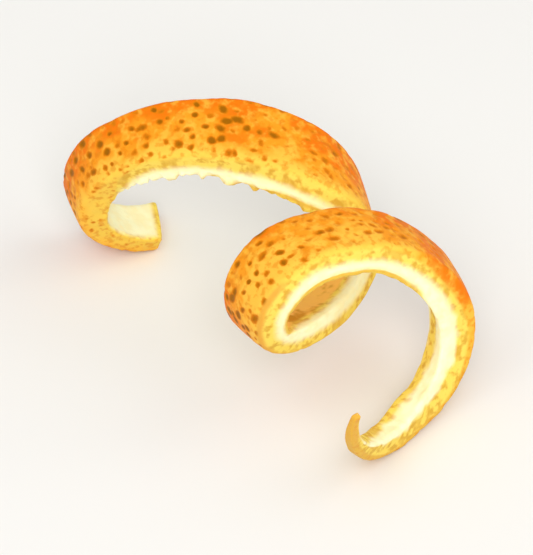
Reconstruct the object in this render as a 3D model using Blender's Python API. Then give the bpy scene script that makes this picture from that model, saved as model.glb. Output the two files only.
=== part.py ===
"""Twist of orange peel: one knife-cut strip of rind, curled into a loose left-hand coil.

The coil lies on its side. It runs along +X from the wide, square-cut end to the thin hooked
tip, and the floor it lies on is z = 0. One closed solid, all lengths in metres.
"""
from math import cos, pi, radians, sin

import bmesh
import bpy
from mathutils import Matrix, Vector

MM = 0.001

# ---- Named sizes -------------------------------------------------------------------------------
NODE = "orange_peel"
STEP_DEG = 5.0           # turn between two cross-sections of the loft
PITH_OVERHANG = 0.7      # the knife leans, so the near cut shows pith standing past the zest
EDGE_ROUND = 0.42        # rounding of the four long edges of the strip
ROUND_STEPS = 3          # facets in each rounded edge
FACE_STEPS = 5           # facets across the zest face and across the pith face
ZEST_CROWN = 0.22        # the zest keeps a little of the fruit's roundness across the strip
PITH_HOLLOW = 0.12       # the pith face is a little hollow across the strip
END_ROUND = 0.30         # softening of the two cut ends
END_SLANT_DEG = 12.0     # the first cut slants, so its near side starts this much turn later
SLANT_REACH_DEG = 60.0   # and the slant dies away over this much turn
TIP_FADE_FROM_DEG = 520  # the knife comes square as it runs out, so the overhang fades from here
LAY_PITCH_DEG = 1.1      # the coil settles this far, wide end up, onto its two low spots
SAG = 0.5                # how far the two low spots give under the coil's weight, strip and all
PRESSED_FLAT = 0.15      # how much of the zest's round is pressed flat against the floor

# Stations along the cut, from the wide end to the tip. Each says where the strip has got to and
# how it was cut there: turn about the coil's axis (degrees from the top), place along the axis,
# coil radius, the axis's own wander aside and up, then strip width, thickness and lean (degrees).
STATIONS = (
    (-192, -14.8, 8.9, -1.7, -1.3, 4.7, 2.1, 3),
    (-130, -15.9, 7.3, -1.5, -1.3, 4.5, 2.3, 18),
    (-85, -14.1, 6.7, -1.1, -0.9, 4.7, 2.3, 8),
    (-40, -10.4, 6.7, -1.0, -0.9, 5.1, 2.3, -5),
    (5, -4.9, 6.6, -0.6, -0.4, 6.1, 2.4, -18),
    (50, 1.2, 6.1, -0.4, 0.8, 6.8, 2.4, -27),
    (140, 5.5, 5.9, 1.5, 2.7, 6.3, 2.5, -21),
    (230, 10.0, 6.4, 1.4, 1.7, 5.0, 2.5, -19),
    (275, 10.7, 8.8, 0.5, 0.0, 5.4, 2.5, 1),
    (320, 11.3, 9.5, -0.6, -1.3, 6.1, 2.5, 3),
    (410, 14.9, 7.8, -0.6, -1.1, 4.5, 2.7, -11),
    (500, 17.5, 9.2, 0.1, -0.7, 2.6, 2.8, -20),
    (560, 20.6, 8.8, 0.3, -0.2, 2.0, 2.4, -8),
    (600, 23.7, 8.7, 0.4, 0.4, 1.5, 1.7, -5),
    (632, 26.2, 9.6, 0.5, 0.6, 0.8, 0.9, -3),
)
TURN, ALONG, RADIUS, ASIDE, UP, WIDTH, THICK, LEAN = range(8)

ZEST_COLOUR = (0.85, 0.33, 0.03, 1.0)
ZEST_ROUGHNESS = 0.42


# ---- The run of the strip ----------------------------------------------------------------------
def slope(column, i):
    """Rate of change of one station column at station i."""
    def chord(a, b):
        return (STATIONS[b][column] - STATIONS[a][column]) / (STATIONS[b][TURN] - STATIONS[a][TURN])

    last = len(STATIONS) - 1
    if i == 0:
        return chord(0, 1)
    if i == last:
        return chord(last - 1, last)
    before = STATIONS[i][TURN] - STATIONS[i - 1][TURN]
    after = STATIONS[i + 1][TURN] - STATIONS[i][TURN]
    return (chord(i - 1, i) * after + chord(i, i + 1) * before) / (before + after)


def at(column, turn):
    """One station column, smoothly carried through every station, at a turn in degrees."""
    i = 0
    while i < len(STATIONS) - 2 and turn > STATIONS[i + 1][TURN]:
        i += 1
    span = STATIONS[i + 1][TURN] - STATIONS[i][TURN]
    s = (turn - STATIONS[i][TURN]) / span
    start, end = STATIONS[i][column], STATIONS[i + 1][column]
    s2, s3 = s * s, s * s * s
    return ((2 * s3 - 3 * s2 + 1) * start + (3 * s2 - 2 * s3) * end
            + span * ((s3 - 2 * s2 + s) * slope(column, i) + (s3 - s2) * slope(column, i + 1)))


def centre(turn):
    """Middle of the strip at a turn. The turn runs left-handed about +X."""
    a = radians(turn)
    radius = at(RADIUS, turn)
    return Vector((at(ALONG, turn), at(ASIDE, turn) + radius * sin(a), at(UP, turn) + radius * cos(a)))


def frame(turn):
    """Directions at a turn: along the strip, across it towards the tip side, and out of the zest."""
    along = (centre(turn + 1.0) - centre(turn - 1.0)).normalized()
    axis = Vector((1.0, 0.0, 0.0))
    across = (axis - along * axis.dot(along)).normalized()
    out = along.cross(across)
    if out.dot(Vector((0.0, sin(radians(turn)), cos(radians(turn))))) < 0.0:
        out.negate()
    lean = radians(at(LEAN, turn))
    return along, across * cos(lean) + out * sin(lean), out * cos(lean) - across * sin(lean)


# ---- The cross-section -------------------------------------------------------------------------
def section(width, thick, overhang):
    """Cross-section as (across, out) pairs: zest face, near cut, pith face, far cut."""
    half_w, half_t = width / 2.0, thick / 2.0
    shift = overhang / 2.0
    r = min(EDGE_ROUND, 0.42 * half_w, 0.42 * half_t)
    corners = (
        (-half_w - shift, half_t, 180.0, 90.0),
        (half_w - shift, half_t, 90.0, 0.0),
        (half_w + shift, -half_t, 0.0, -90.0),
        (-half_w + shift, -half_t, -90.0, -180.0),
    )
    arcs = []
    for across, out, start, end in corners:
        ca = across - r if across > 0.0 else across + r
        co = out - r if out > 0.0 else out + r
        arcs.append([
            (ca + r * cos(radians(start + (end - start) * k / ROUND_STEPS)),
             co + r * sin(radians(start + (end - start) * k / ROUND_STEPS)))
            for k in range(ROUND_STEPS + 1)
        ])
    crown = ZEST_CROWN * width / 6.0
    hollow = PITH_HOLLOW * width / 6.0
    points = []
    for i, arc in enumerate(arcs):
        points += arc
        if i in (0, 2):
            (a0, o0), (a1, o1) = arc[-1], arcs[i + 1][0]
            lift = crown if i == 0 else hollow
            for k in range(1, FACE_STEPS):
                s = k / FACE_STEPS
                points.append((a0 + (a1 - a0) * s, o0 + (o1 - o0) * s + lift * sin(pi * s)))
    return points


def ring(turn, shrink=1.0, inset=0.0):
    """Points of one cross-section in space; inset moves it along the strip."""
    fade = (turn - TIP_FADE_FROM_DEG) / (STATIONS[-1][TURN] - TIP_FADE_FROM_DEG)
    overhang = PITH_OVERHANG * (1.0 - max(0.0, min(1.0, fade)))
    swing = END_SLANT_DEG * max(0.0, 1.0 - (turn - STATIONS[0][TURN]) / SLANT_REACH_DEG) ** 2
    width = at(WIDTH, turn)
    points = []
    for a, o in section(width, at(THICK, turn), overhang):
        turned = turn + swing * (a / width + 0.5)
        along, across, out = frame(turned)
        points.append(centre(turned) + along * inset + across * (a * shrink) + out * (o * shrink))
    return points


# ---- Lofting the strip -------------------------------------------------------------------------
def strip_rings():
    """Every cross-section from the wide end to the tip, with softened ends."""
    first, last = STATIONS[0][TURN], STATIONS[-1][TURN]
    steps = round((last - first) / STEP_DEG)
    rings = [ring(first, 1.0 - END_ROUND / at(THICK, first), 0.0)]
    rings.append(ring(first, 1.0, END_ROUND * 0.8))
    for k in range(1, steps):
        rings.append(ring(first + (last - first) * k / steps))
    rings.append(ring(last))
    rings.append(ring(last, 0.55, END_ROUND))
    return rings


def loft(rings):
    """Skin the cross-sections into one closed solid and cap both ends."""
    bm = bmesh.new()
    loops = [[bm.verts.new(p) for p in points] for points in rings]
    count = len(loops[0])
    for lower, upper in zip(loops, loops[1:]):
        for i in range(count):
            j = (i + 1) % count
            bm.faces.new((lower[i], lower[j], upper[j], upper[i]))
    bm.faces.new(loops[0])
    bm.faces.new(loops[-1])
    bmesh.ops.recalc_face_normals(bm, faces=bm.faces)
    return bm


def lay_down(rings):
    """Settle the cross-sections on the floor: the low ones give upwards and press flat."""
    pitch = Matrix.Rotation(radians(LAY_PITCH_DEG), 3, "Y")
    rings = [[pitch @ p for p in points] for points in rings]
    floor = min(p.z for points in rings for p in points) + SAG
    laid = []
    for points in rings:
        lift = max(0.0, floor - PRESSED_FLAT - min(p.z for p in points))
        laid.append([Vector((p.x, p.y, max(p.z + lift - floor, 0.0))) for p in points])
    return laid


def centre_over_origin(bm):
    """Put the middle of the coil's footprint over the origin and turn millimetres to metres."""
    xs = [v.co.x for v in bm.verts]
    ys = [v.co.y for v in bm.verts]
    middle = Vector(((min(xs) + max(xs)) / 2.0, (min(ys) + max(ys)) / 2.0, 0.0))
    bmesh.ops.translate(bm, verts=bm.verts, vec=-middle)
    bmesh.ops.scale(bm, verts=bm.verts, vec=(MM, MM, MM))


# ---- The scene ---------------------------------------------------------------------------------
def rind_material():
    """Fresh zest: waxy orange skin."""
    material = bpy.data.materials.new("orange rind")
    material.use_nodes = True
    shader = material.node_tree.nodes["Principled BSDF"]
    shader.inputs["Base Color"].default_value = ZEST_COLOUR
    shader.inputs["Roughness"].default_value = ZEST_ROUGHNESS
    return material


def main():
    for old in list(bpy.data.objects):
        bpy.data.objects.remove(old)
    bm = loft(lay_down(strip_rings()))
    centre_over_origin(bm)
    bmesh.ops.triangulate(bm, faces=bm.faces)
    mesh = bpy.data.meshes.new(NODE)
    bm.to_mesh(mesh)
    bm.free()
    mesh.materials.append(rind_material())
    parts = bpy.data.collections.new("orange peel")
    bpy.context.scene.collection.children.link(parts)
    parts.objects.link(bpy.data.objects.new(NODE, mesh))


main()
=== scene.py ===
"""Twist of orange peel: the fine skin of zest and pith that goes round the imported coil.

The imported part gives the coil's size and place. This script lays a fine mesh along its knife cut,
with the edges moved by up to half a millimetre, presses the oil glands into the zest, tears the
edge of the pith a little, and dresses both in their own finishes, on a pale studio floor.
"""
import logging
import random
from dataclasses import astuple, dataclass, field
from enum import Enum
from functools import cached_property
from math import cos, pi, radians, sin

import bmesh
import bpy
import numpy as np
from mathutils import Matrix, Vector, kdtree, noise


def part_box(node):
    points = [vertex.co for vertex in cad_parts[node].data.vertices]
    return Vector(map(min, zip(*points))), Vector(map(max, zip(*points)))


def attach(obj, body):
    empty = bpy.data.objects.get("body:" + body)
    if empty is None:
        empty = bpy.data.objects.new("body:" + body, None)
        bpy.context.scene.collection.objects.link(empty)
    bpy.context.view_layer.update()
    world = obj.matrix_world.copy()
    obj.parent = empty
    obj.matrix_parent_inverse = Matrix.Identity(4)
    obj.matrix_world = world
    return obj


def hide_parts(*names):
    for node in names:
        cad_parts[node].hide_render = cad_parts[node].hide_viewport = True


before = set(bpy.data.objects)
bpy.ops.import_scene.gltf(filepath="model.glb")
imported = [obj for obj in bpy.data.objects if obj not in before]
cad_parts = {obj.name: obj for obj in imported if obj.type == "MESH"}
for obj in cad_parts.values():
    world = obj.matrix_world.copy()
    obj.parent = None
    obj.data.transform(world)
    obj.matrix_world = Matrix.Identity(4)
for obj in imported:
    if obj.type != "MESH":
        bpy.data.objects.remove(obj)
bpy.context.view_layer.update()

Array = np.ndarray
Pair = tuple[float, float]
Socket = bpy.types.NodeSocket
LOG = logging.getLogger("orange peel")
MM = 0.001
NODE = "orange_peel"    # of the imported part
IMAGE_WIDTH, IMAGE_HEIGHT = 533, 555
FAR_OFF = 9.0    # mm, past which a distance makes no difference
TINY = 1e-9


# ---- Small helpers ----
def linear(colour: str) -> tuple[float, float, float, float]:
    """Turns an sRGB hex colour into the linear values that a shader takes.

    Args:
        colour: Six hex digits, such as "ff9d24".

    Returns:
        Linear red, green, blue and an alpha of one.
    """
    parts = [int(colour[i:i + 2], 16) / 255.0 for i in (0, 2, 4)]
    red, green, blue = [p / 12.92 if p <= 0.04045 else ((p + 0.055) / 1.055) ** 2.4 for p in parts]
    return red, green, blue, 1.0


def ease(value: Array | float, start: float, end: float) -> Array:
    """Goes smoothly from nought at start to one at end, whichever of the two is the larger.

    Args:
        value: What is measured.
        start: Where the step begins.
        end: Where the step is done.

    Returns:
        The eased share, between nought and one.
    """
    share = np.clip((np.asarray(value, float) - start) / (end - start), 0.0, 1.0)
    return share * share * (3.0 - 2.0 * share)


def grain(points: Array, size: float, salt: float = 0.0) -> Array:
    """Soft lumps of one size through space.

    Args:
        points: Places in millimetres, the last axis being x, y, z.
        size: Rough distance from one lump to the next, in millimetres.
        salt: Moves the pattern, so that two of them don't match.

    Returns:
        A value between about minus one and one for each place.
    """
    flat = points.reshape(-1, 3) / size + salt
    return np.array([noise.noise(Vector(p)) for p in flat]).reshape(points.shape[:-1])


def hump(value: Array, middle: float, spread: float) -> Array:
    """A smooth hump, one at its middle and almost nought two spreads away from it."""
    return np.exp(-((value - middle) / spread) ** 2)


def lengths(points: Array) -> Array:
    """Length along a line of points, from the first to each of them."""
    return np.concatenate(((0.0,), np.cumsum(np.linalg.norm(np.diff(points, axis=0), axis=1))))


def feed(tree: bpy.types.NodeTree, node: bpy.types.Node, inputs: dict[str | int, object]) -> None:
    """Sets a node's inputs.

    Args:
        tree: The material's or world's node tree.
        node: One of its nodes.
        inputs: For each input, by name or number, a value or the socket that feeds it.
    """
    for name, value in inputs.items():
        if isinstance(value, Socket):
            tree.links.new(value, node.inputs[name])
        else:
            node.inputs[name].default_value = value


def add_node(
    tree: bpy.types.NodeTree, kind: str, settings: dict[str, object] | None = None,
    inputs: dict[str | int, object] | None = None,
) -> bpy.types.Node:
    """Adds one node with its settings and its links.

    Args:
        tree: The material's node tree.
        kind: Blender's name for the node's type.
        settings: Properties of the node itself.
        inputs: As feed takes them.

    Returns:
        The new node.
    """
    node = tree.nodes.new(kind)
    for name, value in (settings or {}).items():
        setattr(node, name, value)
    feed(tree, node, inputs or {})
    return node


# ---- What the strip is described with ----
@dataclass(frozen=True)
class Lumps:
    """Soft lumps, for relief or to make a line ragged: a height, and what grain takes."""

    height: float
    size: float
    salt: float

    def at(self, points: Array) -> Array:
        """Height of the lumps at each place."""
        return self.height * grain(points, self.size, self.salt)


def heaped(lumps: tuple[Lumps, ...], points: Array) -> Array:
    """Height of several sizes of lumps on top of each other, at each place."""
    return sum(one.at(points) for one in lumps)


@dataclass(frozen=True)
class Stretch:
    """A stretch of the coil that comes in smoothly and may go again. Degrees of turn."""

    comes: Pair               # where it begins, and where it is whole
    goes: Pair | None = None  # where it begins to go, and where it has gone

    def at(self, turns: Array) -> Array:
        """How much each turn belongs to the stretch, from nought to one, as a column."""
        left = ease(turns, *reversed(self.goes)) if self.goes else 1.0
        return (ease(turns, *self.comes) * left)[:, None]


@dataclass(frozen=True)
class Station:
    """How far the strip has got, and how it was cut, at one turn of the coil. Millimetres."""

    turn: float    # degrees about the coil's axis, from its top, left-handed about +X
    along: float   # place along the axis
    radius: float  # of the coil
    aside: float   # the axis's own wander along Y
    up: float      # and along Z
    width: float   # of the strip
    thick: float   # of the strip
    lean: float    # degrees that the strip's outer face leans


@dataclass(frozen=True)
class Band:
    """How the layers of the rind show across the near cut, at one turn. Millimetres."""

    turn: float
    skin: float    # how far down the cut the skin's own orange shows
    worn: float    # how far back on the zest the knife has thinned it
    yellow: float  # how far down the cut the yellow layer shows
    pale: float    # how far past the inner corner the pith stays pale
    rim: float     # how strongly the drying edge shows beyond that, up to one
    dots: float    # how strongly the glands show


# ---- The knife cut ----
CORNER = 0.1                  # how far before a side's number the corner before it starts
WIDTH, THICK, LEAN = 4, 5, 6  # columns of what CutPath.at gives, after the place's four


class Side(Enum):
    """The four sides of the strip, in the order that its cross-section goes round."""

    ZEST = 0
    NEAR_CUT = 1
    PITH = 2
    FAR_CUT = 3

    def corner(self, share: float) -> float:
        """Place some share of the way round the corner before this side."""
        return self.value - CORNER * (1.0 - share)


class CutPath:
    """The run of the strip, carried smoothly through every station."""

    NUDGE = 1.0    # degrees looked each way to find which way the strip runs

    def __init__(self, stations: tuple[Station, ...]) -> None:
        """Works out how fast each value changes at each station.

        Args:
            stations: From the wide end to the tip.
        """
        table = np.array([astuple(s) for s in stations])
        self.turns, self.values = table[:, 0], table[:, 1:]
        span = np.diff(self.turns)[:, None]
        chord = np.diff(self.values, axis=0) / span
        inner = (chord[:-1] * span[1:] + chord[1:] * span[:-1]) / (span[1:] + span[:-1])
        self.rates = np.vstack((chord[:1], inner, chord[-1:]))

    def at(self, turns: Array) -> Array:
        """Carries every station value smoothly through the stations.

        Args:
            turns: Degrees about the coil's axis.

        Returns:
            The station values at each turn, one row a turn.
        """
        turns = np.asarray(turns, float)
        i = np.searchsorted(self.turns[1:-1], turns, side="left")
        span = (self.turns[i + 1] - self.turns[i])[:, None]
        s = (turns - self.turns[i])[:, None] / span
        s2, s3 = s * s, s * s * s
        return ((2 * s3 - 3 * s2 + 1) * self.values[i] + (3 * s2 - 2 * s3) * self.values[i + 1]
                + span * ((s3 - 2 * s2 + s) * self.rates[i] + (s3 - s2) * self.rates[i + 1]))

    def centres(self, turns: Array) -> Array:
        """Middle of the strip.

        Args:
            turns: Degrees about the coil's axis.

        Returns:
            Its x, y and z at each turn.
        """
        along, radius, aside, up = self.at(turns)[:, :WIDTH].T
        angle = np.radians(turns)
        y, z = aside + radius * np.sin(angle), up + radius * np.cos(angle)
        return np.stack((along, y, z), axis=1)

    def frames(self, turns: Array) -> tuple[Array, Array, Array]:
        """Directions at each turn.

        Args:
            turns: Degrees about the coil's axis.

        Returns:
            Along the strip, across it towards the tip side, and out of the zest.
        """
        along = self.centres(turns + self.NUDGE) - self.centres(turns - self.NUDGE)
        along /= np.linalg.norm(along, axis=1, keepdims=True)
        across = np.array((1.0, 0.0, 0.0)) - along * along[:, :1]
        across /= np.linalg.norm(across, axis=1, keepdims=True)
        angle = np.radians(turns)
        outward = np.stack((np.zeros_like(angle), np.sin(angle), np.cos(angle)), axis=1)
        out = np.cross(along, across)
        out *= np.sign(np.sum(out * outward, axis=1, keepdims=True))
        lean = np.radians(self.at(turns)[:, LEAN:LEAN + 1])
        return (along, across * np.cos(lean) + out * np.sin(lean),
                out * np.cos(lean) - across * np.sin(lean))


@dataclass
class Skin:
    """The smooth skin of the strip: a row for each cross-section, a column for each place on it."""

    turns: Array     # degrees, one for each row
    scale: Array     # of the cross-section about its own middle, one for each row
    places: Array    # side number and share of the way across it, one for each column
    width: Array     # of the strip, as a column, in millimetres like all that follow
    thick: Array     # of the strip, as a column
    across: Array    # place of each point across the strip
    depth: Array     # of each point below the zest
    points: Array    # x, y and z of each point
    overhang: float  # how far the pith stands past the zest on the near side
    body_row: int    # the first row past the rounding of the wide end
    rolled_depth: Pair = (0.5, 0.1)  # where the near cut rolls into the zest

    def __post_init__(self) -> None:
        """Finds the edges of the zest and the pith across the strip, and the near cut's slant."""
        self.zest_edge = (self.width - self.overhang) / 2.0
        self.pith_edge = (self.width + self.overhang) / 2.0
        self.slant = np.hypot(self.overhang, self.thick) / self.thick
        self.end_face = (self.scale < 1.0)[:, None]
        self.inner = (self.places >= Side.PITH.corner(0.0)) & (self.places < Side.FAR_CUT.value)

    @cached_property
    def run(self) -> Array:
        """Length along the middle of the zest, one for each row."""
        middle = (1.0 - CORNER) / 2.0
        return lengths(self.points[:, int(np.argmin(np.abs(self.places - middle)))])

    @cached_property
    def unrolled(self) -> Array:
        """How far each point is past the near edge of the zest, laid out flat."""
        on_zest = np.minimum(0.0, self.across - self.zest_edge)
        on_pith = self.inner * np.clip(self.pith_edge - self.across, 0.0, None)
        rolled = ease(self.depth, *self.rolled_depth)
        return rolled * on_zest + self.depth * self.slant + on_pith

    def raised(self, height: Array) -> Array:
        """Gives the skin a relief, but for its end faces.

        Args:
            height: How far each point stands out.

        Returns:
            The points with the relief on them, and none of them below the floor.
        """
        ring = self.points[:, :-1]
        around = np.roll(ring, -1, axis=1) - np.roll(ring, 1, axis=1)
        out = np.cross(np.gradient(ring, axis=0), around)
        out = out / np.maximum(np.linalg.norm(out, axis=2, keepdims=True), TINY)
        if np.sum(out * (ring - ring.mean(axis=1, keepdims=True))) < 0.0:
            out = -out
        out = np.concatenate((out, out[:, :1]), axis=1)
        points = self.points + out * (height * ~self.end_face)[..., None]
        points[..., 2] = np.maximum(points[..., 2], 0.0)
        return points


# ---- The oil glands ----
@dataclass
class GlandField:
    """Oil glands of the zest, scattered over the strip laid out flat. Millimetres."""

    spacing: float = 1.22        # from one gland to the next
    scatter: float = 0.30        # share of the spacing that a gland may be off its place
    radius: Pair = (0.22, 0.42)
    stretch: Pair = (1.0, 1.7)   # how much longer than wide a gland is
    tilt: Pair = (-0.1, 1.0)     # radians that it slants across the strip
    depth: Pair = (0.04, 0.10)
    bowl: float = 1.15           # radii from a gland's middle to the edge of its dimple
    core: Pair = (1.4, 0.1)      # radii over which its dark middle comes in
    halo: Pair = (2.2, 0.8)      # radii over which the oily ring comes in
    core_share: float = 0.75     # of the darkness that is in the middle, the rest being the ring's
    faintest: float = 0.25       # how dark the emptiest gland shows
    margin: float = 3.0          # how far past the strip's edges glands are set out
    nearest: int = 3             # glands looked at for each place
    faint: float = 0.02          # share of zest in a point below which they aren't looked at
    seed: int = 33
    glands: list[tuple[float, ...]] = field(default_factory=list)
    tree: kdtree.KDTree | None = None

    def cover(self, skin: Skin, zesty: Array) -> tuple[Array, Array]:
        """Covers the zest with glands.

        Args:
            skin: The smooth skin.
            zesty: How much each point counts as zest.

        Returns:
            How far each point is dimpled in, and how dark it shows, up to one.
        """
        self.scatter_over(skin.run[-1], float(skin.width.max()) / 2.0)
        laid_out = np.where(skin.unrolled > 0.0, skin.across + skin.depth, skin.across)
        dimple, dark = np.zeros_like(zesty), np.zeros_like(zesty)
        for i, j in zip(*np.nonzero(zesty > self.faint)):
            dimple[i, j], dark[i, j] = self.press(skin.run[i], laid_out[i, j])
        return dimple, dark

    def scatter_over(self, length: float, half_width: float) -> None:
        """Sets out the glands in staggered rows, each a little off its place.

        Args:
            length: Of the strip along its zest.
            half_width: The widest half of the strip.
        """
        half_width += self.margin
        draw = random.Random(self.seed)
        row_step = self.spacing * sin(radians(60.0))
        rows = int(2.0 * half_width / row_step) + 2
        columns = int(length / self.spacing) + 2
        for r in range(rows):
            for c in range(columns):
                place = (c + 0.5 * (r % 2)) * self.spacing, r * row_step - half_width
                off = [draw.uniform(-1.0, 1.0) * self.scatter * self.spacing for _ in place]
                self.glands.append((
                    place[0] + off[0], place[1] + off[1],
                    draw.uniform(*self.radius), draw.uniform(*self.stretch),
                    draw.uniform(*self.tilt), draw.uniform(*self.depth), draw.random(),
                ))
        self.tree = kdtree.KDTree(len(self.glands))
        for i, gland in enumerate(self.glands):
            self.tree.insert((gland[0], gland[1], 0.0), i)
        self.tree.balance()

    def press(self, along: float, across: float) -> Pair:
        """What the glands do at one place on the zest.

        Args:
            along: Place along the strip.
            across: Place across the strip.

        Returns:
            How far the skin is dimpled in, and how dark the glands show, up to one.
        """
        dimple, mark = 0.0, 0.0
        for _, i, _ in self.tree.find_n((along, across, 0.0), self.nearest):
            x, y, radius, stretch, tilt, depth, strength = self.glands[i]
            dx, dy = along - x, across - y
            major = (dx * cos(tilt) + dy * sin(tilt)) / stretch
            minor = dy * cos(tilt) - dx * sin(tilt)
            away = (major * major + minor * minor) ** 0.5 / radius
            if away < self.halo[0]:
                bowl = max(0.0, 1.0 - (away / self.bowl) ** 2) ** 2
                dimple = max(dimple, depth * bowl)
                core, halo = float(ease(away, *self.core)), float(ease(away, *self.halo))
                dark = self.core_share * core + (1.0 - self.core_share) * halo
                mark = max(mark, (self.faintest + (1.0 - self.faintest) * strength) * dark)
        return dimple, mark


# ---- Finishes ----
@dataclass(frozen=True)
class RindColours:
    """Colours through the thickness of fresh orange rind, as sRGB hex."""

    zest_deep: str = "ee780a"   # deeper orange, in broad patches and towards the far edge of the strip
    zest: str = "f49a20"        # the general colour
    zest_light: str = "f9bc42"  # between the glands, where the wax catches the light
    zest_edge: str = "f3c94e"   # where the knife has thinned the skin
    halo: str = "dc7c08"        # oily skin round a gland
    gland: str = "9e6000"       # looking down into an oil gland
    under_zest: str = "f3d55c"  # the yellow layer between zest and pith
    under_deep: str = "dba93a"  # oily flecks in it
    pith: str = "fff9cc"        # fresh, moist, white-yellow pith
    pith_shade: str = "fff2bc"  # in its hollows
    rim: str = "e2b646"         # the drying inner edge of the cut
    dried: str = "e4a640"       # skin drying along a shallow cut
    stain: str = "ffc058"       # painted shade on the pith face inside the middle loop, a warm orange-brown
    loop_shade_spot: str = "cf8c16"  # darker spots painted into that shade
    tail: str = "e4b340"        # the thin skin of the tail


@dataclass(frozen=True)
class Step:
    """Where one colour passes into the next."""

    start: float
    end: float
    top: float = 1.0   # how much of the next colour there is past the end
    push: float = 0.0  # how strongly soft lumps push the line between them about


@dataclass(frozen=True)
class RindPattern:
    """How the rind's colours break up: sizes in millimetres, and where each colour takes over."""

    broad: float = 4.5             # patches with more or less oil
    middling: float = 1.8          # the skin between a few glands
    small: float = 1.1             # raggedness of the lines between the layers
    wax: float = 0.8               # size of the painted highlight spots between the glands
    fleck: float = 0.62            # oily flecks between the glands
    gland: float = 0.45            # raggedness of a gland's mark
    pip: float = 0.7               # flecks in the yellow layer
    patch: float = 1.4             # its oily patches
    detail: float = 2.0            # how finely the lumps are broken up
    bump_detail: float = 3.0       # and those of the bump
    bump_roughness: float = 0.55
    tone_push: Pair = (1.7, 1.1)   # of the skin, by broad and middling lumps
    zest: Step = Step(1.40, 1.75)
    zest_deep: Step = Step(1.92, 2.25)
    highlight_flecks: Step = Step(0.46, 0.68, 0.65)
    worn: Step = Step(0.4, 2.1, push=1.8)
    tail: Step = Step(0.9, 1.5, push=1.4)
    oily: Step = Step(0.50, 0.66, 0.5)
    gland_push: Pair = (0.5, 0.4)  # by the gland's own and the broad lumps
    halo: Step = Step(0.60, 0.92)
    gland_dark: Step = Step(0.76, 1.25)
    hollows: Step = Step(0.35, 0.65)
    pips: Step = Step(0.46, 0.66)
    patches: Step = Step(0.52, 0.62, 0.6)
    cut: Step = Step(0.05, 0.95, push=0.7)
    rim: Step = Step(0.5, 1.0, push=0.5)
    dried: Step = Step(0.5, 1.3, push=0.6)
    # where the darker spots and the painted shade inside the middle loop come in
    loop_shade_spots: Step = Step(0.52, 0.66)
    stain: Step = Step(0.3, 1.1, push=0.5)


@dataclass(frozen=True)
class ZestFinish:
    """Waxed citrus zest: a thin natural wax over oily skin, so it has a soft broken highlight."""

    name: str = "waxy orange zest"
    roughness: float = 0.50
    ior: float = 1.45
    specular: float = 0.06  # the wax is thin and patchy, so it throws back little
    coat: float = 0.02
    coat_roughness: float = 0.30
    scatter: float = 0.06   # how much light goes in and comes out elsewhere
    scatter_mm: float = 0.5
    scatter_tint: tuple[float, float, float] = (1.0, 0.55, 0.2)
    bump_mm: float = 0.035  # fine pebbling of the wax
    bump_size_mm: float = 0.42


@dataclass(frozen=True)
class PithFinish:
    """Fresh citrus pith: a moist sponge of white fibres, so it is matt and lets light in."""

    name: str = "moist spongy pith"
    roughness: float = 0.78
    ior: float = 1.38
    specular: float = 0.3
    coat: float = 0.0
    coat_roughness: float = 0.5
    scatter: float = 0.30
    scatter_mm: float = 1.1
    scatter_tint: tuple[float, float, float] = (1.0, 0.86, 0.52)
    bump_mm: float = 0.03  # pores of the sponge
    bump_size_mm: float = 0.33


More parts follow.
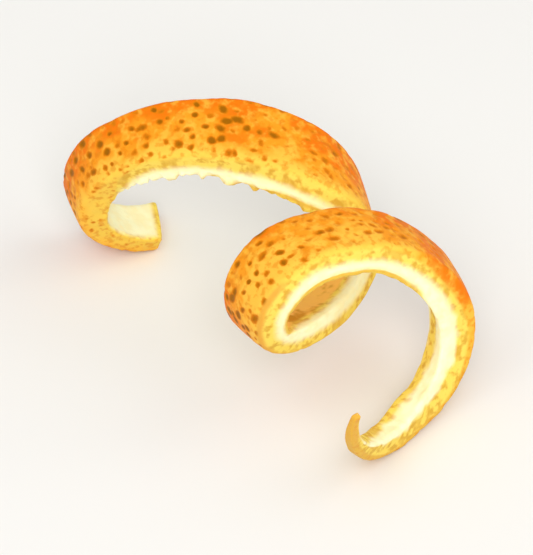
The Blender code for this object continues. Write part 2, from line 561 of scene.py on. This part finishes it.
@dataclass(frozen=True)
class RindMaterial:
    """Builds the two finishes of the rind over one set of colours, so they meet without a seam."""

    colours: RindColours = RindColours()
    pattern: RindPattern = RindPattern()

    def make(self, finish: ZestFinish | PithFinish) -> bpy.types.Material:
        """Makes one material.

        Args:
            finish: Gloss, scatter and fine surface of the layer.

        Returns:
            The finished material.
        """
        material = bpy.data.materials.new(finish.name)
        material.use_nodes = True
        tree = material.node_tree
        colour = self.colour(tree)
        place = add_node(tree, "ShaderNodeTexCoord").outputs["Object"]
        pebble = add_node(tree, "ShaderNodeTexNoise", None, {
            "Vector": place, "Scale": 1.0 / (finish.bump_size_mm * MM),
            "Detail": self.pattern.bump_detail, "Roughness": self.pattern.bump_roughness})
        bump = add_node(tree, "ShaderNodeBump", None, {
            "Strength": 1.0, "Distance": finish.bump_mm * MM, "Height": pebble.outputs["Fac"]})
        feed(tree, tree.nodes["Principled BSDF"], {
            "Base Color": colour, "Normal": bump.outputs["Normal"],
            "Roughness": finish.roughness, "IOR": finish.ior,
            "Specular IOR Level": finish.specular, "Coat Weight": finish.coat,
            "Coat Roughness": finish.coat_roughness, "Subsurface Weight": finish.scatter,
            "Subsurface Radius": finish.scatter_tint,
            "Subsurface Scale": finish.scatter_mm * MM})
        return material

    def colour(self, tree: bpy.types.NodeTree) -> Socket:
        """Builds the colour of the rind, from the skin down to the pith.

        Args:
            tree: The material's node tree.

        Returns:
            The socket that gives the colour.
        """
        c, p = self.colours, self.pattern
        place = add_node(tree, "ShaderNodeTexCoord").outputs["Object"]

        def mark(name: str) -> Socket:
            """One of the piece's own attributes."""
            return add_node(tree, "ShaderNodeAttribute", {"attribute_name": name}).outputs["Fac"]

        def lumps(size_mm: float) -> Socket:
            """Soft noise of a real size."""
            return add_node(tree, "ShaderNodeTexNoise", None, {
                "Vector": place, "Scale": 1.0 / (size_mm * MM), "Detail": p.detail}).outputs["Fac"]

        def blend(share: Socket, first: Socket | str, second: Socket | str) -> Socket:
            """One colour passing into another."""
            first, second = [linear(x) if isinstance(x, str) else x for x in (first, second)]
            return add_node(tree, "ShaderNodeMix", {"data_type": "RGBA"},
                            {0: share, 6: first, 7: second}).outputs[2]

        def shift(value: Socket, by: Socket, push: float) -> Socket:
            """A value pushed about by noise."""
            return add_node(tree, "ShaderNodeMath", {"operation": "MULTIPLY_ADD"},
                            {0: by, 1: push, 2: value}).outputs[0]

        def step(value: Socket, at: Step, by: Socket | None = None) -> Socket:
            """A smooth step of a value, up to a top share, pushed about by noise."""
            value = shift(value, by, at.push) if by else value
            return add_node(tree, "ShaderNodeMapRange", {"interpolation_type": "SMOOTHSTEP"}, {
                "Value": value, "From Min": at.start, "From Max": at.end, "To Min": 0.0,
                "To Max": at.top}).outputs["Result"]

        broad, middling, small = lumps(p.broad), lumps(p.middling), lumps(p.small)
        tone = shift(shift(mark("far"), broad, p.tone_push[0]), middling, p.tone_push[1])
        skin = blend(step(tone, p.zest), c.zest_light, c.zest)
        skin = blend(step(tone, p.zest_deep), skin, c.zest_deep)
        # Painted highlights: lighter spots between the glands, where the wax would catch the light
        skin = blend(step(lumps(p.wax), p.highlight_flecks), skin, c.zest_light)
        skin = blend(step(mark("worn"), p.worn, small), skin, c.zest_edge)
        skin = blend(step(mark("tail"), p.tail, middling), skin, c.tail)
        skin = blend(step(lumps(p.fleck), p.oily), skin, c.halo)
        spot = shift(shift(mark("gland"), lumps(p.gland), p.gland_push[0]), broad, p.gland_push[1])
        skin = blend(step(spot, p.halo), skin, c.halo)
        skin = blend(step(spot, p.gland_dark), skin, c.gland)
        flesh = blend(step(small, p.hollows), c.pith, c.pith_shade)
        yellow = blend(step(lumps(p.pip), p.pips), c.under_zest, c.under_deep)
        yellow = blend(step(lumps(p.patch), p.patches), yellow, c.under_deep)
        flesh = blend(step(mark("cut"), p.cut, small), yellow, flesh)
        flesh = blend(step(mark("rim"), p.rim, small), flesh, c.rim)
        rind = blend(mark("flesh"), skin, flesh)
        rind = blend(step(mark("dried"), p.dried, small), rind, c.dried)
        # Painted shade: the pith face inside the middle loop is darkened to orange-brown, with
        # darker spots
        loop_shading = blend(step(middling, p.loop_shade_spots), c.stain, c.loop_shade_spot)
        return blend(step(mark("stain"), p.stain, small), rind, loop_shading)


# ---- The layers and the relief ----
@dataclass(frozen=True)
class RindLayers:
    """Which layer of the rind shows where. Millimetres, with depths below the zest."""

    zest_depth: Pair = (0.10, 0.38)  # zest to flesh, below the skin's own band
    yellow_layer: float = 0.9        # how deep the yellow is where the knife cut square
    rim_width: float = 1.3           # how far the drying rim reaches over the pith
    rim_line: Pair = (0.1, 0.25)     # its middle past the pale pith, and spread
    rim_reach: float = 3.0           # how far off it the pith counts where there is no rim
    loop_shade_reach: float = 1.1         # how far past the pale pith the oil is all there
    dry_line: Pair = (0.10, 0.42)    # middle of the dried cut past the zest's edge, and spread
    dry_tip_share: float = 0.55
    end_line: float = 0.2            # yellow line round the pith at the wide end
    far_line: float = 0.1            # and along the far cut
    # how far past the pale pith the painted shade is whole
    oily_share: float = 0.9
    light_share: float = 0.34
    worn_glands: float = 0.6         # how much of a gland's mark is left at the worn edge
    worn_reach: Pair = (0.2, 1.8)    # from the edge to where all of it is
    tail_lumps: Lumps = Lumps(0.5, 0.9, 21.0)

    # Where painted shade darkens the pith face inside the middle loop, where the skin is deepest
    # orange and where lightest, and the dried shallow cut
    loop_shading: Stretch = Stretch((90.0, 125.0), (300.0, 345.0))
    oily_bend: Stretch = Stretch((388.0, 412.0), (435.0, 465.0))
    light_loop: Stretch = Stretch((270.0, 300.0), (365.0, 385.0))
    dry_cut: Stretch = Stretch((255.0, 270.0), (310.0, 330.0))
    dry_tip: Stretch = Stretch((588.0, 618.0))      # the last of the tip, dried too
    fresh_pith: Stretch = Stretch((-30.0, -50.0))   # where there is no drying rim
    thin_tail: Stretch = Stretch((440.0, 520.0))    # where the skin has the tail's colour
    ragged_tail: Stretch = Stretch((420.0, 470.0))  # where the yellow's edge is ragged
    bands: tuple[Band, ...] = (
        Band(-192, 3.0, -0.2, 2.45, 9.0, 0.0, 0.5),
        Band(-110, 3.0, -0.2, 2.45, 9.0, 0.0, 0.85),
        Band(-80, 2.0, 0.2, 2.30, 5.0, 0.0, 0.95),
        Band(-60, 0.6, 0.6, 1.80, 1.5, 0.0, 1.0),
        Band(-35, 0.0, 1.0, 1.20, 0.2, 0.4, 1.05),
        Band(0, 0.0, 1.1, 1.20, 0.0, 0.4, 1.05),
        Band(25, 0.0, 1.1, 1.25, -0.2, 0.7, 0.8),
        Band(45, 0.0, 1.0, 1.30, -0.55, 0.9, 0.55),
        Band(90, 0.0, 1.0, 1.35, -0.65, 0.9, 0.6),
        Band(150, 0.0, 1.0, 1.00, 1.1, 0.3, 0.8),
        Band(250, 0.0, 1.0, 1.10, 1.0, 0.3, 1.15),
        Band(275, 0.0, 0.7, 1.40, -0.1, 0.8, 1.35),
        Band(310, 0.0, 0.7, 1.30, -0.2, 1.0, 1.2),
        Band(335, 0.0, 0.9, 0.90, -0.3, 1.0, 0.75),
        Band(375, 0.0, 0.5, 1.10, -0.4, 0.9, 0.6),
        Band(415, 0.7, -0.6, 1.45, -0.2, 0.5, 0.6),
        Band(440, 0.8, -1.0, 1.65, 1.2, 0.3, 0.55),
        Band(470, 0.5, -1.2, 1.80, 1.7, 0.3, 0.5),
        Band(500, 0.3, -0.6, 1.95, 1.8, 0.3, 0.5),
        Band(555, 0.3, -0.5, 1.90, 1.7, 0.4, 0.4),
        Band(600, 0.6, -0.5, 1.80, 0.6, 0.4, 0.0),
    )

    def band(self, turns: Array, name: str) -> Array:
        """One value of the bands at each turn, as a column."""
        known = [b.turn for b in self.bands]
        return np.interp(turns, known, [getattr(b, name) for b in self.bands])[:, None]

    def marks(self, skin: Skin) -> dict[str, Array]:
        """Works out which layer of the rind each point shows.

        Args:
            skin: The smooth skin.

        Returns:
            What the finishes read, by name, with a value for each point.
        """
        turns, unrolled = skin.turns, skin.unrolled
        past = unrolled - (skin.thick * skin.slant + self.band(turns, "pale"))
        near_side = (skin.places < Side.PITH.corner(0.5)) & ~skin.end_face
        flesh = ease(skin.depth - self.band(turns, "skin") * near_side, *self.zest_depth)
        far = np.clip((skin.zest_edge - skin.across) / (2.0 * skin.zest_edge),
                      self.oily_share * self.oily_bend.at(turns), 1.0)
        dry_cut = self.dry_cut.at(turns) * hump(unrolled, *self.dry_line)
        return {
            "far": far - self.light_share * self.light_loop.at(turns),
            "worn": unrolled + self.band(turns, "worn"),
            "cut": self.fresh_flesh(skin, past),
            "rim": self.band(turns, "rim") * hump(past, *self.rim_line),
            # painted shade on the pith face inside the middle loop, deepening away from the pale
            # pith
            "stain": skin.inner * self.loop_shading.at(turns) * ease(past, 0.0, self.loop_shade_reach),
            "dried": np.maximum(dry_cut, self.dry_tip_share * self.dry_tip.at(turns)),
            "flesh": flesh,
            "tail": self.thin_tail.at(turns) * ~skin.inner,
        }

    def fresh_flesh(self, skin: Skin, past: Array) -> Array:
        """How far inside the fresh white pith each point is: below nought it is yellow.

        Args:
            skin: The smooth skin.
            past: How far each point is past the end of the pale pith.

        Returns:
            The distance to the nearest edge of the fresh pith.
        """
        square = (skin.places > Side.FAR_CUT.corner(0.5)) | skin.end_face
        yellow = self.band(skin.turns, "yellow")
        yellow = np.where(square, np.minimum(yellow, self.yellow_layer), yellow)
        along = skin.run[:, None] - skin.run[skin.body_row] - self.end_line
        from_end = np.where(skin.inner & ~skin.end_face, along, FAR_OFF)
        from_far = np.where(skin.inner, skin.pith_edge + skin.across - self.far_line, FAR_OFF)
        off_rim = np.maximum(-past, past - self.rim_width)
        off_rim = off_rim + self.rim_reach * self.fresh_pith.at(skin.turns)
        inside = np.minimum.reduce((skin.unrolled - yellow, off_rim, from_end, from_far))
        return inside + self.tail_lumps.at(skin.points) * self.ragged_tail.at(skin.turns)

    def gland_share(self, skin: Skin) -> Array:
        """How much of a gland's mark shows at each point: less where the knife wore the zest."""
        unworn = ease(-skin.unrolled, *self.worn_reach)
        left = self.worn_glands + (1.0 - self.worn_glands) * unworn
        return left * self.band(skin.turns, "dots")


@dataclass(frozen=True)
class RindRelief:
    """Relief of pebbled zest, spongy pith, a rough cut and a torn edge. Millimetres."""

    zest_lumps: Lumps = Lumps(0.07, 2.6, 1.3)
    pith_lumps: tuple[Lumps, ...] = (Lumps(0.05, 1.6, 5.2), Lumps(0.03, 0.6, 9.1))
    cut_lumps: tuple[Lumps, ...] = (Lumps(0.05, 1.3, 2.2), Lumps(0.03, 0.5, 4.4))
    tear_lumps: tuple[Lumps, ...] = (Lumps(0.60, 1.0, 6.6), Lumps(0.36, 0.5, 8.8))
    torn: Stretch = Stretch((-75.0, -45.0), (30.0, 75.0))  # where the peel arches over
    least_torn: float = 0.15           # how torn the edge is elsewhere
    tear_out: float = 0.12             # how far the torn edge stands out
    tear_line: Pair = (1.93, 0.16)     # its place round the section, and spread
    relief_depth: Pair = (0.30, 0.05)  # where the zest's relief comes in
    relief_wrap: float = 0.2           # share of the near cut that it goes over
    calm_tip: float = 90.0             # degrees of turn before the tip over which it dies away

    def height(self, skin: Skin, dimple: Array) -> Array:
        """Works out the relief.

        Args:
            skin: The smooth skin.
            dimple: How far the glands dimple each point in.

        Returns:
            How far each point stands out.
        """
        zest = ease(skin.depth, *self.relief_depth)
        zest = zest * (skin.places < Side.NEAR_CUT.value + self.relief_wrap)
        pith = skin.inner.astype(float)
        cut = 1.0 - np.maximum(zest, pith)
        height = zest * (self.zest_lumps.at(skin.points) - dimple)
        height += pith * heaped(self.pith_lumps, skin.points)
        height += cut * heaped(self.cut_lumps, skin.points)
        torn = self.least_torn + (1.0 - self.least_torn) * self.torn.at(skin.turns)
        tear = heaped(self.tear_lumps, skin.points) + self.tear_out
        height += hump(skin.places, *self.tear_line) * torn * tear
        last = skin.turns[-1]
        return height * ease(skin.turns, last, last - self.calm_tip)[:, None]


# ---- The peel ----
@dataclass
class PeelTwist:
    """One strip of rind, knife-cut round the fruit and curled into a coil. Millimetres."""

    name: str = "peel_twist"
    overhang: float = 0.7         # the knife leans, so the near cut shows pith past the zest
    edge_round: float = 0.42      # rounding of the four long edges
    round_share: float = 0.42     # the most of half a side that the rounding may take
    thinnest: float = 0.1         # least width or thickness of a cross-section
    zest_crown: float = 0.22      # the zest keeps some of the fruit's roundness across the strip
    pith_hollow: float = 0.12     # the pith face is a little hollow
    crown_width: float = 6.0      # the width of strip that those two are given for
    crown_reach: float = 1.0      # how far from the middle of the rind they are whole
    end_round: float = 0.30       # softening of the two cut ends
    end_clear: float = 1.5        # roundings from the first end to the first row of the body
    end_slant: float = 12.0       # degrees that the first cut's near side is set back
    slant_reach: float = 60.0     # turn over which that slant dies away
    tip_round: float = 0.4        # share of the tip's width that rounds off its end
    tip_fade_from: float = 520.0  # the knife comes square as it runs out
    tip_dried: float = 0.28       # how much thinner the last of the tip has dried
    tip_drying: Stretch = Stretch((560.0, 605.0))
    lay_pitch: float = 1.1        # degrees that the coil settles, wide end up
    sag: float = 0.5              # how far its low spots give under its weight
    pressed_flat: float = 0.15    # how much of the round is pressed flat on the floor
    wander: tuple[Lumps, ...] = (Lumps(0.22, 4.5, 3.1), Lumps(0.10, 1.4, 7.7))  # of its width
    glands: GlandField = field(default_factory=GlandField)
    layers: RindLayers = RindLayers()
    relief: RindRelief = RindRelief()

    # How finely it is meshed
    measure_step: float = 0.25  # degrees, to measure the strip's length
    step_mm: float = 0.158      # from one cross-section to the next
    cap_rows: int = 12          # rings from the middle of the wide end to its edge
    tip_rows: int = 4           # and of the tip's end
    round_rows: int = 4         # rings round the edge of an end
    corner_steps: int = 4
    side_steps: tuple[int, int, int, int] = (40, 16, 34, 12)
    weld_mm: float = 0.0001
    flesh_from: float = 0.4     # share of flesh from which a face has the pith's finish

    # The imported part's cut, with its edges moved by up to half a millimetre
    stations: tuple[Station, ...] = (
        Station(-194, -14.8, 8.9, -1.7, -1.3, 4.7, 2.1, 3),
        Station(-130, -15.9, 7.3, -1.5, -1.3, 4.5, 2.3, 18),
        Station(-85, -14.1, 6.65, -1.1, -0.9, 4.7, 2.45, 8),
        Station(-40, -10.4, 6.6, -1.0, -0.9, 5.1, 2.4, -5),
        Station(5, -4.9, 6.42, -0.6, -0.4, 6.1, 2.55, -18),
        Station(50, 1.2, 6.05, -0.4, 0.8, 6.8, 2.8, -27),
        Station(85, 3.6, 5.7, 0.3, 1.7, 6.8, 2.75, -27),
        Station(140, 5.5, 5.9, 1.5, 2.7, 6.3, 2.5, -21),
        Station(230, 10.0, 6.4, 1.4, 1.7, 5.0, 2.5, -19),
        Station(275, 10.7, 8.8, 0.5, 0.0, 5.4, 2.5, 1),
        Station(320, 11.3, 9.5, -0.6, -1.3, 6.1, 2.5, 3),
        Station(365, 12.8, 8.5, -0.8, -1.6, 5.75, 2.4, -3),
        Station(410, 14.62, 7.55, -0.6, -1.35, 5.1, 3.05, -11),
        Station(500, 17.3, 9.05, 0.1, -0.7, 3.1, 3.15, -20),
        Station(560, 20.5, 8.75, 0.3, -0.2, 2.2, 2.5, -8),
        Station(600, 23.7, 8.7, 0.1, 0.4, 1.5, 1.7, -5),
        Station(637, 26.2, 9.6, 0.1, 0.6, 0.8, 0.9, -3),
    )

    def build(self) -> bpy.types.Object:
        """Makes the piece.

        Returns:
            The dressed object, in place in the part's frame.
        """
        skin = self.skin(CutPath(self.stations))
        marks = self.layers.marks(skin)
        zesty = 1.0 - marks["flesh"]
        dimple, dark = self.glands.cover(skin, zesty)
        marks["gland"] = dark * zesty * self.layers.gland_share(skin)
        piece = self.mesh(skin.raised(self.relief.height(skin, dimple)), marks)
        self.dress(piece)
        return piece

    def rows(self, path: CutPath) -> Array:
        """Sets out the cross-sections, evenly along the strip and closer round its two ends.

        Args:
            path: The run of the strip.

        Returns:
            A line for each cross-section: turn, push along the strip, how much the outline is
            drawn in, and its scale about its own middle.
        """
        step = self.measure_step
        dense = np.arange(path.turns[0], path.turns[-1] + step / 2.0, step)
        length = lengths(path.centres(dense))
        start = self.end_clear * self.end_round
        count = round((length[-1] - start) / self.step_mm)
        body = np.interp(np.linspace(start, length[-1], count), length, dense)
        first, last, rad = path.turns[0], path.turns[-1], self.end_round
        tip_rad = self.tip_round * self.stations[-1].width
        quarter = [0.5 * pi * k / self.round_rows for k in range(self.round_rows + 1)]
        rows = [(first, 0.0, rad, k / self.cap_rows) for k in range(self.cap_rows)]
        rows += [(first, rad * (1.0 - cos(a)), rad * (1.0 - sin(a)), 1.0) for a in quarter[:-1]]
        rows += [(turn, 0.0, 0.0, 1.0) for turn in body]
        rows += [(last, rad * sin(a), tip_rad * (1.0 - cos(a)), 1.0) for a in quarter[1:]]
        rows += [(last, rad, tip_rad, 1.0 - (k + 1) / self.tip_rows) for k in range(self.tip_rows)]
        return np.array(rows)

    def outline(self, width: float, thick: float, overhang: float) -> tuple[Array, Array]:
        """Draws one cross-section: zest face, near cut, pith face, far cut.

        Args:
            width: Of the strip.
            thick: Of the strip.
            overhang: How far the pith stands past the zest on the near side.

        Returns:
            The outline's points, across and out, with the first point again at the end; and for
            each point, where it is: side number plus the share of the way across that side.
        """
        w, t, shift = width / 2.0, thick / 2.0, overhang / 2.0
        corners = np.array(((-w - shift, t), (w - shift, t), (w + shift, -t), (-w + shift, -t)))
        reach = min(self.edge_round, self.round_share * w, self.round_share * t)
        points, places = [], []
        for side in Side:
            i = side.value
            here, there = corners[i], corners[(i + 1) % len(Side)]
            before, after = corners[i - 1] - here, there - here
            enter = here + before / np.linalg.norm(before) * reach
            step = after / np.linalg.norm(after) * reach
            leave, arrive = here + step, there - step
            for k in range(self.corner_steps):
                s = k / self.corner_steps
                points.append(enter * (1 - s) ** 2 + here * 2 * s * (1 - s) + leave * s * s)
                places.append(side.corner(s))
            for k in range(self.side_steps[i]):
                s = k / self.side_steps[i]
                points.append(leave + (arrive - leave) * s)
                places.append(i + (1 - CORNER) * s)
        points.append(points[0])
        places.append(places[0])
        return np.array(points), np.array(places)

    def skin(self, path: CutPath) -> Skin:
        """Lays the smooth skin along the knife cut and down on the floor.

        Args:
            path: The run of the strip.

        Returns:
            The skin, with no relief yet.
        """
        turns, inset, drawn_in, scale = self.rows(path).T
        width, thick = path.at(turns)[:, (WIDTH, THICK)].T
        fade = np.clip((turns - self.tip_fade_from) / (turns[-1] - self.tip_fade_from), 0.0, 1.0)
        wander = heaped(self.wander, path.centres(turns))
        outlines = [self.outline(*sizes) for sizes in zip(
            np.maximum(self.thinnest, width + wander - 2.0 * drawn_in),
            np.maximum(self.thinnest, thick - 2.0 * drawn_in), self.overhang * (1.0 - fade))]
        flat, places = np.array([points for points, _ in outlines]), outlines[0][1]
        across, out = flat[..., 0], flat[..., 1]
        width, thick = width[:, None], thick[:, None]
        depth = np.clip(thick / 2.0 - out * scale[:, None], 0.0, None)

        # the zest stays a little round and the pith face a little hollow
        side = np.clip(across / (0.5 * width + 0.5 * self.overhang), -1.0, 1.0)
        lift = np.where(out > 0, self.zest_crown, self.pith_hollow) * width / self.crown_width
        full = ease(np.abs(out), 0.0, self.crown_reach)
        full = full * ease(drawn_in, self.end_round, 0.0)[:, None]
        out = out + lift * (1.0 - side * side) * full
        shrunk = scale[:, None] * (1.0 - self.tip_dried * self.tip_drying.at(turns))
        across, out = across * shrunk, out * shrunk

        # each cross-section goes to its place round the coil, the first ones slanting
        swing = np.clip(1.0 - (turns - turns[0]) / self.slant_reach, 0.0, 1.0) ** 2
        swing = self.end_slant * swing[:, None] * (across / width + 0.5)
        turned = (turns[:, None] + swing).ravel()
        forward, sideways, outward = (v.reshape(*out.shape, 3) for v in path.frames(turned))
        points = path.centres(turned).reshape(*out.shape, 3) + forward * inset[:, None, None]
        points = points + sideways * across[..., None] + outward * out[..., None]
        body_row = self.cap_rows + self.round_rows
        return Skin(turns, scale, places, width, thick, across, depth, self.lay_down(points),
                    self.overhang, body_row)

    def lay_down(self, points: Array) -> Array:
        """Settles the cross-sections on the floor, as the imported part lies.

        Args:
            points: The smooth skin, cross-section by cross-section.

        Returns:
            The points with the floor at nought.
        """
        pitch = np.array(Matrix.Rotation(radians(self.lay_pitch), 3, "Y"))
        points = points @ pitch.T
        floor = points[..., 2].min() + self.sag
        lift = np.maximum(0.0, floor - self.pressed_flat - points[..., 2].min(axis=1))
        points[..., 2] += lift[:, None] - floor
        return points

    def mesh(self, points: Array, marks: dict[str, Array]) -> bpy.types.Object:
        """Rolls a flat grid onto the strip and welds it shut.

        Args:
            points: Where the grid's points go.
            marks: What the finishes read at each point.

        Returns:
            The closed, smooth object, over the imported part's place.
        """
        rows, columns = points.shape[:2]
        lowest, highest = (np.array(corner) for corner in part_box(NODE))
        middle = (points.reshape(-1, 3).min(axis=0) + points.reshape(-1, 3).max(axis=0)) / 2.0
        move = (lowest + highest) / 2.0 - middle * MM
        move[2] = lowest[2]
        placed = points * MM + move
        bm = bmesh.new()
        bm.loops.layers.uv.new("strip")
        layers = {name: bm.verts.layers.float.new(name) for name in marks}
        half = 0.5    # of the flat grid's side
        bmesh.ops.create_grid(
            bm, x_segments=columns - 1, y_segments=rows - 1, size=half, calc_uvs=True)
        for vert in bm.verts:
            i = round((vert.co.y + half) * (rows - 1))
            j = round((vert.co.x + half) * (columns - 1))
            vert.co = placed[i, j]
            for name, layer in layers.items():
                vert[layer] = marks[name][i, j]
        bmesh.ops.remove_doubles(bm, verts=bm.verts, dist=self.weld_mm * MM)
        bmesh.ops.recalc_face_normals(bm, faces=bm.faces)
        flesh = layers["flesh"]
        for face in bm.faces:
            face.smooth = True
            face.material_index = int(min(v[flesh] for v in face.verts) > self.flesh_from)
        mesh = bpy.data.meshes.new(self.name)
        bm.to_mesh(mesh)
        bm.free()
        piece = bpy.data.objects.new(self.name, mesh)
        bpy.context.scene.collection.objects.link(piece)
        return piece

    def dress(self, piece: bpy.types.Object) -> None:
        """Gives the zest and the pith their finishes."""
        maker = RindMaterial()
        piece.data.materials.append(maker.make(ZestFinish()))
        piece.data.materials.append(maker.make(PithFinish()))


# ---- The studio ----
@dataclass(frozen=True)
class Lamp:
    """One soft square lamp, aimed at the peel."""

    name: str
    aside: float       # degrees round from the camera
    elevation: float   # degrees above the floor
    size: float        # metres
    power: float       # watts
    away: float = 0.9  # metres from the peel


@dataclass
class Studio:
    """A pale floor, soft lamps and the camera."""

    azimuth: float = 54.5        # degrees, of the camera
    elevation: float = 39.1
    lens: float = 400.0          # mm
    sensor: float = 36.0         # mm
    fill: float = 0.78           # share of the picture's width that the peel takes
    floor_size: float = 6.0      # metres
    floor_drop_mm: float = 0.05  # just under the peel, so that the two don't share a surface
    floor_colour: str = "ecebe8"
    floor_roughness: float = 0.9
    floor_specular: float = 0.1
    sky_colour: str = "fbfaf8"
    sky_strength: float = 0.61
    lamps: tuple[Lamp, ...] = (
        Lamp("key", -40.0, 52.0, 0.6, 1.7),
        Lamp("front", 2.0, 39.0, 0.4, 3.5),
        Lamp("side", 80.0, 42.0, 0.8, 2.3),
    )

    def build(self, piece: bpy.types.Object) -> None:
        """Sets up everything round the peel.

        Args:
            piece: What the camera frames.
        """
        self.floor()
        for lamp in self.lamps:
            self.hang(lamp)
        self.sky()
        self.camera(piece)
        bpy.context.scene.view_settings.view_transform = "Standard"

    def floor(self) -> None:
        """Lays the pale matt floor."""
        bm = bmesh.new()
        bmesh.ops.create_grid(bm, x_segments=1, y_segments=1, size=self.floor_size / 2.0)
        bmesh.ops.translate(bm, verts=bm.verts, vec=(0.0, 0.0, -self.floor_drop_mm * MM))
        mesh = bpy.data.meshes.new("studio_floor")
        bm.to_mesh(mesh)
        bm.free()
        floor = bpy.data.objects.new("studio_floor", mesh)
        bpy.context.scene.collection.objects.link(floor)
        material = bpy.data.materials.new("matt white paper")
        material.use_nodes = True
        feed(material.node_tree, material.node_tree.nodes["Principled BSDF"], {
            "Base Color": linear(self.floor_colour), "Roughness": self.floor_roughness,
            "Specular IOR Level": self.floor_specular})
        mesh.materials.append(material)

    def hang(self, lamp: Lamp) -> None:
        """Hangs one lamp, facing the peel.

        Args:
            lamp: Where it goes and how bright it is.
        """
        data = bpy.data.lights.new(lamp.name, "AREA")
        data.energy, data.size = lamp.power, lamp.size
        hung = bpy.data.objects.new(lamp.name, data)
        away = self.towards(self.azimuth + lamp.aside, lamp.elevation)
        hung.location = away * lamp.away
        hung.rotation_euler = away.to_track_quat("Z", "Y").to_euler()
        bpy.context.scene.collection.objects.link(hung)

    def sky(self) -> None:
        """Lights the whole room with a pale even glow."""
        world = bpy.data.worlds.new("pale room")
        world.use_nodes = True
        feed(world.node_tree, world.node_tree.nodes["Background"],
             {"Color": linear(self.sky_colour), "Strength": self.sky_strength})
        bpy.context.scene.world = world

    @staticmethod
    def towards(azimuth: float, elevation: float) -> Vector:
        """Direction from the peel towards a place round it."""
        a, e = radians(azimuth), radians(elevation)
        return Vector((sin(a) * cos(e), -cos(a) * cos(e), sin(e)))

    def camera(self, piece: bpy.types.Object) -> None:
        """Aims a long lens at the middle of what shows of the peel.

        Args:
            piece: What the camera frames.
        """
        back = self.towards(self.azimuth, self.elevation)
        turn = back.to_track_quat("Z", "Y")
        right, up = turn @ Vector((1.0, 0.0, 0.0)), turn @ Vector((0.0, 1.0, 0.0))
        coords = np.array([vert.co for vert in piece.data.vertices])
        spans = []
        target = Vector((0.0, 0.0, 0.0))
        for axis in (right, up, back):
            reach = coords @ np.array(axis)
            spans.append(float(reach.max() - reach.min()))
            target += axis * float(reach.max() + reach.min()) / 2.0
        picture_height = spans[0] / self.fill * IMAGE_HEIGHT / IMAGE_WIDTH
        data = bpy.data.cameras.new("camera")
        data.lens, data.sensor_width = self.lens, self.sensor
        camera = bpy.data.objects.new("camera", data)
        camera.location = target + back * (picture_height * self.lens / self.sensor)
        camera.rotation_euler = turn.to_euler()
        bpy.context.scene.collection.objects.link(camera)
        bpy.context.scene.camera = camera


def main() -> None:
    """Builds the peel, puts it on the frame and sets up the studio."""
    logging.basicConfig(level=logging.INFO)
    peel = PeelTwist().build()
    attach(peel, "root")
    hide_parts(NODE)
    LOG.info("%s: %d faces", peel.name, len(peel.data.polygons))
    Studio().build(peel)
    LOG.info("studio: floor, lamps, sky and camera")


if __name__ == "__main__":
    main()
